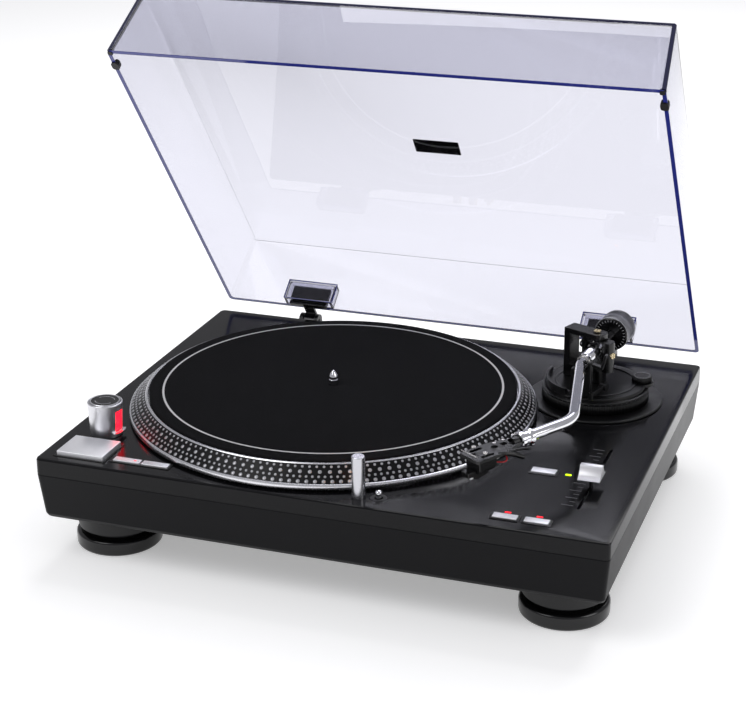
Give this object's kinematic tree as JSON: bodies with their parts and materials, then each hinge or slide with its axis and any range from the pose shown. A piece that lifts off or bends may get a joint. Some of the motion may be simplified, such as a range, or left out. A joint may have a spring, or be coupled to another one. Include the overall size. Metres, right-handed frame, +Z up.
{
  "type": "turntable",
  "caption": "Direct-drive turntable with strobe-dotted platter, S-shaped tonearm, pitch fader, isolating feet and a hinged clear dust cover standing open.",
  "frame": {"origin": "centre of the bounding box of the object with its dust cover open, at the height of the surface under the feet", "axes": "+X to the player's right along the long side, +Y from the controls to the hinges, +Z up"},
  "size_m": [0.45, 0.4142, 0.4087],
  "materials": {
    "anti_skate_knob": "black moulding",
    "arm_base_plate": "black moulding",
    "arm_clip": "black moulding",
    "arm_collar": "polished",
    "arm_pedestal": "black moulding",
    "arm_rest": "black moulding",
    "arm_tube": "bright plated tube",
    "bottom_case": "satin black moulding",
    "cartridge": "black moulding",
    "counterweight": "dark knurled steel",
    "cue_lever": "black moulding",
    "cue_lift": "black moulding",
    "fader_cap": "brushed",
    "fader_track": "pressed sheet",
    "foot_front_left": "black isolator foot",
    "foot_front_right": "black isolator foot",
    "foot_rear_left": "black isolator foot",
    "foot_rear_right": "black isolator foot",
    "force_dial": "black moulding",
    "gimbal_frame": "black paint",
    "ground_post": "gold-plated",
    "headshell": "matt black anodised",
    "height_ring": "black moulding",
    "hinge_bracket_left": "black nylon",
    "hinge_bracket_right": "black nylon",
    "key_button": "brushed",
    "lid": "clear tinted acrylic",
    "lid_leaf_left": "black nylon",
    "lid_leaf_right": "black nylon",
    "light_release_button": "satin chrome",
    "main_board": "green circuit board",
    "motor_base": "zinc-plated sheet",
    "motor_stator": "wound copper coils",
    "phono_line_switch": "black moulding",
    "pivot_block": "plated",
    "platter": "turned, with a black dotted rim",
    "power_inlet": "black moulding",
    "power_knob": "black cap",
    "range_button": "brushed",
    "rca_left": "gold-plated",
    "rca_right": "gold-plated",
    "rear_panel": "black moulding",
    "reset_button": "brushed",
    "rotor_magnet": "sintered magnet",
    "slipmat": "black felt",
    "speed_bezel": "black moulding",
    "speed_button_33": "brushed",
    "speed_button_45": "brushed",
    "spindle": "polished",
    "start_stop_bezel": "black moulding",
    "start_stop_button": "brushed",
    "strobe_lens": "red translucent lens",
    "strobe_tower": "brushed",
    "stylus": "black moulding",
    "target_light": "satin chrome tube",
    "target_light_socket": "black moulding",
    "top_cover": "semi-gloss black paint",
    "transformer": "laminated core",
    "weight_sleeve": "black moulding"
  },
  "bodies": {
    "case": {"top_cover": "top_cover", "bottom_case": "bottom_case", "foot_front_left": "foot_front_left", "foot_front_right": "foot_front_right", "foot_rear_left": "foot_rear_left", "foot_rear_right": "foot_rear_right", "motor_stator": "motor_stator", "motor_base": "motor_base", "transformer": "transformer", "main_board": "main_board", "rear_panel": "rear_panel", "power_inlet": "power_inlet", "rca_left": "rca_left", "rca_right": "rca_right", "ground_post": "ground_post", "strobe_tower": "strobe_tower", "strobe_lens": "strobe_lens", "start_stop_bezel": "start_stop_bezel", "speed_bezel": "speed_bezel", "fader_track": "fader_track", "target_light_socket": "target_light_socket", "arm_base_plate": "arm_base_plate", "hinge_bracket_left": "hinge_bracket_left", "hinge_bracket_right": "hinge_bracket_right"},
    "platter": {"platter": "platter", "slipmat": "slipmat", "spindle": "spindle", "rotor_magnet": "rotor_magnet"},
    "dust_cover": {"lid": "lid", "lid_leaf_left": "lid_leaf_left", "lid_leaf_right": "lid_leaf_right"},
    "height_ring": {"height_ring": "height_ring"},
    "pedestal": {"arm_pedestal": "arm_pedestal", "gimbal_frame": "gimbal_frame", "arm_rest": "arm_rest"},
    "gimbal": {"pivot_block": "pivot_block"},
    "tonearm": {"arm_tube": "arm_tube", "headshell": "headshell", "cartridge": "cartridge", "stylus": "stylus"},
    "arm_collar": {"arm_collar": "arm_collar"},
    "weight_sleeve": {"weight_sleeve": "weight_sleeve"},
    "counterweight": {"counterweight": "counterweight"},
    "force_dial": {"force_dial": "force_dial"},
    "arm_clip": {"arm_clip": "arm_clip"},
    "anti_skate_knob": {"anti_skate_knob": "anti_skate_knob"},
    "cue_lever": {"cue_lever": "cue_lever"},
    "cue_lift": {"cue_lift": "cue_lift"},
    "power_knob": {"power_knob": "power_knob"},
    "fader": {"fader_cap": "fader_cap"},
    "target_light": {"target_light": "target_light"},
    "light_release": {"light_release_button": "light_release_button"},
    "phono_line_switch": {"phono_line_switch": "phono_line_switch"},
    "start_stop_button": {"start_stop_button": "start_stop_button"},
    "speed_button_33": {"speed_button_33": "speed_button_33"},
    "speed_button_45": {"speed_button_45": "speed_button_45"},
    "range_button": {"range_button": "range_button"},
    "key_button": {"key_button": "key_button"},
    "reset_button": {"reset_button": "reset_button"}
  },
  "joints": [
    {"name": "platter_spin", "type": "hinge", "parent": "case", "child": "platter", "pos_m": [-0.044, -0.0356, 0.095], "axis": [0, 0, -1], "continuous": true},
    {"name": "lid_hinge", "type": "hinge", "parent": "case", "child": "dust_cover", "pos_m": [0, 0.15629, 0.0804], "axis": [-1, 0, 0], "range_deg": [-52.1, 0]},
    {"name": "height_ring_turn", "type": "hinge", "parent": "case", "child": "height_ring", "pos_m": [0.155, 0.04689, 0.093], "axis": [0, 0, 1], "range_deg": [0, 270]},
    {"name": "pedestal_rise", "type": "slide", "parent": "case", "child": "pedestal", "axis": [0, 0, 1], "range_m": [0, 0.006]},
    {"name": "arm_swing", "type": "hinge", "parent": "pedestal", "child": "gimbal", "pos_m": [0.155, 0.04689, 0.129], "axis": [0, 0, -1], "range_deg": [0, 47]},
    {"name": "arm_lift", "type": "hinge", "parent": "gimbal", "child": "tonearm", "pos_m": [0.155, 0.04689, 0.129], "axis": [-0.8526, 0.5225, 0], "range_deg": [-1, 8]},
    {"name": "collar_turn", "type": "hinge", "parent": "tonearm", "child": "arm_collar", "pos_m": [0.11603, -0.1867, 0.12498], "axis": [0.5328, 0.846, 0.0183], "range_deg": [0, 45]},
    {"name": "weight_travel", "type": "slide", "parent": "tonearm", "child": "weight_sleeve", "axis": [0.1183, 0.9928, 0.0166], "range_m": [-0.004, 0.004]},
    {"name": "weight_turn", "type": "hinge", "parent": "weight_sleeve", "child": "counterweight", "pos_m": [0.155, 0.04689, 0.129], "axis": [0.1183, 0.9928, 0.0166], "range_deg": [-720, 720]},
    {"name": "dial_turn", "type": "hinge", "parent": "counterweight", "child": "force_dial", "pos_m": [0.155, 0.04689, 0.129], "axis": [0.1183, 0.9928, 0.0166], "continuous": true},
    {"name": "clip_turn", "type": "hinge", "parent": "pedestal", "child": "arm_clip", "pos_m": [0.16174, 0.01135, 0.12842], "axis": [0.1184, 0.993, 0], "range_deg": [-105, 0]},
    {"name": "anti_skate_turn", "type": "hinge", "parent": "pedestal", "child": "anti_skate_knob", "pos_m": [0.191, 0.0584, 0.105], "axis": [0, 0, 1], "range_deg": [0, 300]},
    {"name": "cue_lever_turn", "type": "hinge", "parent": "pedestal", "child": "cue_lever", "pos_m": [0.167, 0.02389, 0.1055], "axis": [-0.9563, 0.2924, 0], "range_deg": [0, 45]},
    {"name": "cue_lift_rise", "type": "slide", "parent": "pedestal", "child": "cue_lift", "axis": [0, 0, 1], "range_m": [0, 0.0022]},
    {"name": "power_turn", "type": "hinge", "parent": "case", "child": "power_knob", "pos_m": [-0.194, -0.14661, 0.105], "axis": [0, 0, -1], "range_deg": [0, 45]},
    {"name": "start_stop_press", "type": "slide", "parent": "case", "child": "start_stop_button", "axis": [0, 0, -1], "range_m": [0, 0.0015], "stiffness_N_per_m": 600},
    {"name": "speed_33_press", "type": "slide", "parent": "case", "child": "speed_button_33", "axis": [0, 0, -1], "range_m": [0, 0.001], "stiffness_N_per_m": 300},
    {"name": "speed_45_press", "type": "slide", "parent": "case", "child": "speed_button_45", "axis": [0, 0, -1], "range_m": [0, 0.001], "stiffness_N_per_m": 300},
    {"name": "range_press", "type": "slide", "parent": "case", "child": "range_button", "axis": [0, 0, -1], "range_m": [0, 0.001], "stiffness_N_per_m": 300},
    {"name": "key_press", "type": "slide", "parent": "case", "child": "key_button", "axis": [0, 0, -1], "range_m": [0, 0.001], "stiffness_N_per_m": 300},
    {"name": "reset_press", "type": "slide", "parent": "case", "child": "reset_button", "axis": [0, 0, -1], "range_m": [0, 0.001], "stiffness_N_per_m": 300},
    {"name": "fader_slide", "type": "slide", "parent": "case", "child": "fader", "axis": [0, 1, 0], "range_m": [-0.036, 0.065]},
    {"name": "target_light_slide", "type": "slide", "parent": "case", "child": "target_light", "axis": [0, 0, -1], "range_m": [0, 0.031]},
    {"name": "light_release_press", "type": "slide", "parent": "case", "child": "light_release", "axis": [0, 0, -1], "range_m": [0, 0.0012], "stiffness_N_per_m": 300},
    {"name": "phono_line_slide", "type": "slide", "parent": "case", "child": "phono_line_switch", "axis": [1, 0, 0], "range_m": [0, 0.0044]}
  ],
  "couplings": [
    {"joint": "pedestal_rise", "follows": "height_ring_turn", "m_per_rad": 0.001273},
    {"joint": "cue_lift_rise", "follows": "cue_lever_turn", "m_per_rad": 0.0028},
    {"joint": "weight_travel", "follows": "weight_turn", "m_per_rad": 0.000318}
  ]
}
